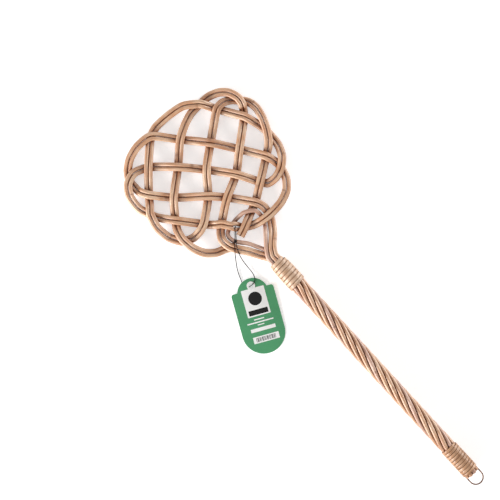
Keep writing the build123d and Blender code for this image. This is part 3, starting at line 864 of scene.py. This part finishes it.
def wound(name, start_x, length, turns, inside, finish, slot_name, node):
    """A strip wound round the handle, whose two tails narrow and go under."""
    pitch = (length + turn_gap) / (turns + 1)
    first = start_x + (pitch - turn_gap) / 2
    half_width, half_thick = pitch * half_width_share, peel_thickness / 2
    rings, grains, marks = [], [], []
    steps = turns * steps_per_turn
    for i in range(steps + 1):
        angle = 2 * pi * i / steps_per_turn
        tail = sin(min(1, i / tail_steps, (steps - i) / tail_steps) * pi / 2)
        narrow = tail_width + (1 - tail_width) * tail
        thin = tail_thickness + (1 - tail_thickness) * tail
        x = first + angle / (2 * pi) * pitch
        out = Vector((0, cos(angle), sin(angle)))
        radius = inside(x) + half_thick - tail_tuck * (1 - tail)
        middle = Vector((x, axis_y, axis_z)) + out * radius
        heading = Vector((pitch / (2 * pi * radius), -sin(angle), cos(angle))).normalized()
        across = out.cross(heading)
        # Split and wound by hand: the width and the place of the strip waver a little
        waver = 1 + 0.02 * sin(angle * 0.73) + 0.012 * sin(angle * 2.9)
        slide = 0.05 * sin(angle * 0.41 + 1.3)
        width = half_width * narrow * waver
        run = angle * radius
        places = [(a * width, ((b + 1) * thin - 1) * half_thick) for a, b, _ in peel_section]
        rings.append([middle + across * (a + slide) + out * b for a, b in places])
        grains.append([Vector((a, b, run)) for a, b in places])
        marks.append([m for _, _, m in peel_section])
    skin(name, rings, grains, marks, [finish], "beater", slot_name, node)


def neck_inside(x):
    share = min(1, (x - neck_x) / neck_entry_length)
    return neck_entry_radius + share * (neck_binding_radius - neck_entry_radius)


def end_inside(x):
    return end_binding_radius


wound(
    "neck_peel_binding", neck_x, neck_binding_length, neck_turns, neck_inside, neck_peel,
    "neck_peel", "neck_binding",
)
wound(
    "end_peel_binding", end_x, end_binding_length, end_turns, end_inside, end_peel,
    "end_peel", "end_binding",
)

# Hanging loop: a bent wire, both legs under the end binding
leg_steps, bow_steps = 16, 24
leg_start = end_x + end_binding_length - leg_length
bow_x = tip_x - wire_radius - leg_reach
leg = [
    Vector((leg_start + (bow_x - leg_start) * i / leg_steps, axis_y - leg_reach, axis_z))
    for i in range(leg_steps)
]
bow = [
    Vector((bow_x + leg_reach * sin(turn), axis_y - leg_reach * cos(turn), axis_z))
    for turn in (pi * i / bow_steps for i in range(bow_steps + 1))
]
back = [Vector((p.x, axis_y + leg_reach, axis_z)) for p in reversed(leg)]
tube(
    "wire_loop", leg + bow + back, wire_radius, wire_sides, plain_shape, [iron],
    "beater", "wire", "hanging_loop",
)

# The core, the card and its ring stay, and only get their finish
kept = (("handle_core", core_wood), ("tag_card", green_card), ("tag_eyelet", white_plastic))
for node_name, finish in kept:
    for material_slot in nodes[node_name].material_slots:
        material_slot.material = finish


# Print on the card
corner_steps = 4


def printed(name, patches, rise, finish):
    """Flat printed patches, each given by its corners and how round they are."""
    places, faces = [], []
    for corners, radius in patches:
        outline = []
        for i, corner in enumerate(corners):
            corner = Vector(corner)
            before = (Vector(corners[i - 1]) - corner).normalized()
            after = (Vector(corners[(i + 1) % len(corners)]) - corner).normalized()
            middle = corner + (before + after) * radius
            for j in range(corner_steps + 1 if radius else 1):
                turn = j / corner_steps * pi / 2
                outline.append(middle - after * radius * cos(turn) - before * radius * sin(turn))
        start = len(places)
        places += [on_tag(p.x, p.y, rise) * MM for p in outline]
        faces.append(tuple(range(start, start + len(outline))))
    mesh = bpy.data.meshes.new(name)
    mesh.from_pydata(places, [], faces)
    mesh.materials.append(finish)
    made = placed(name, mesh)
    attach(made, "tag")


def bar(left, right, middle, height):
    """The corners of a bar along the card's width, in mm from the card's hole."""
    low, high = middle - height / 2, middle + height / 2
    return [(left, low), (right, low), (right, high), (left, high)]


lines_middle = -67.4
white_areas = [
    (bar(-14.1, 15.2, -20.85, 34.9), 0.8),
    (bar(-15.0, 17.9, lines_middle, 8.2), 0.6),
    (bar(-7.6, 5.4, -42.3, 1.4), 0.3),
    (bar(-17.2, 16.3, -46.0, 1.6), 0.3),
    (bar(-4.8, 3.7, -49.4, 1.2), 0.3),
    (bar(-15.0, 16.5, -55.2, 4.4), 0.5),
]
# Plain dark shapes in the white areas: a disc, a bar under it, and evenly spaced lines in the
# lower one
disc_radius, disc_x, disc_y, disc_corners = 8.5, 0.8, -16.7, 32
disc = [
    (disc_x + disc_radius * cos(turn), disc_y + disc_radius * sin(turn))
    for turn in (2 * pi * i / disc_corners for i in range(disc_corners))
]
dark_areas = [(disc, 0.0), (bar(-11.7, 12.7, -33.5, 6.4), 0.3)]
line_count, line_start, line_pitch, line_height = 17, -11.2, 1.5, 5.5
line_widths = (0.5, 1.0, 0.6, 0.8)
for i in range(line_count):
    left = line_start + line_pitch * i
    right = left + line_widths[i % len(line_widths)]
    dark_areas.append((bar(left, right, lines_middle, line_height), 0.0))
print_film = 0.03
printed("tag_print", white_areas, tag_thickness + print_film, white_print)
printed("tag_print_dark", dark_areas, tag_thickness + 2 * print_film, dark_print)

# Floor and light
white = (1, 1, 1, 1)
floor_half = 2.5
glow_start, glow_end = 0.5, 2.0
glow_least, glow_most = 0.5, 1.0
world_light = 0.33
softbox_width, softbox_height = 2.0, 0.75


def seen_rays(tree):
    """1 for rays from the camera and for reflected and transmitted ones, 0 for those that light
    a surface."""
    rays = add(tree, "LightPath").outputs
    seen = calculated(tree, "MAXIMUM", rays["Is Camera Ray"], rays["Is Glossy Ray"])
    return calculated(tree, "MAXIMUM", seen, rays["Is Transmission Ray"])


# White paper that glows a little where the camera or a reflection sees it, and more further out,
# so that it stays white to its edges
floor_finish, floor_tree, floor_shader = finish_of("white_paper_floor")
from_middle = length_of(floor_tree, add(floor_tree, "TexCoord").outputs["Object"])
glow = remap(floor_tree, from_middle, glow_start, glow_end, glow_least, glow_most)
feed(floor_tree, floor_shader, {
    "Base Color": linear("#F6F6F6"),
    "Roughness": 0.95,
    "Specular IOR Level": 0.0,
    "Emission Color": white,
    "Emission Strength": remap(floor_tree, seen_rays(floor_tree), 0, 1, 0, glow),
})
corner_signs = ((-1, -1), (1, -1), (1, 1), (-1, 1))
floor_corners = [(x * floor_half, y * floor_half, 0) for x, y in corner_signs]
floor_mesh = bpy.data.meshes.new("floor")
floor_mesh.from_pydata(floor_corners, [], [(0, 1, 2, 3)])
floor_mesh.materials.append(floor_finish)
floor = placed("floor", floor_mesh)


def softbox(name, place, power):
    """A wide lamp at this place, aimed at the middle of the view."""
    data = bpy.data.lights.new(name, "AREA")
    data.shape = "RECTANGLE"
    data.size, data.size_y = softbox_width, softbox_height
    data.energy = power
    made = placed(name, data)
    made.location = place
    made.rotation_euler = (view_middle - Vector(place)).to_track_quat("-Z", "Y").to_euler()


# Two low soft boxes, one along each side of the handle, so that round pieces are palest on their
# flanks
softbox("key", (-0.3, -1.7, 0.45), 58)
softbox("fill", (0.1, 1.7, 0.45), 31)
world = bpy.data.worlds.new("studio")
world.use_nodes = True
world_tree = world.node_tree
feed(world_tree, world_tree.nodes["Background"], {
    "Color": white,
    "Strength": remap(world_tree, seen_rays(world_tree), 0, 1, world_light, 1),
})
scene.world = world
scene.view_settings.view_transform = "Standard"

bpy.context.view_layer.update()
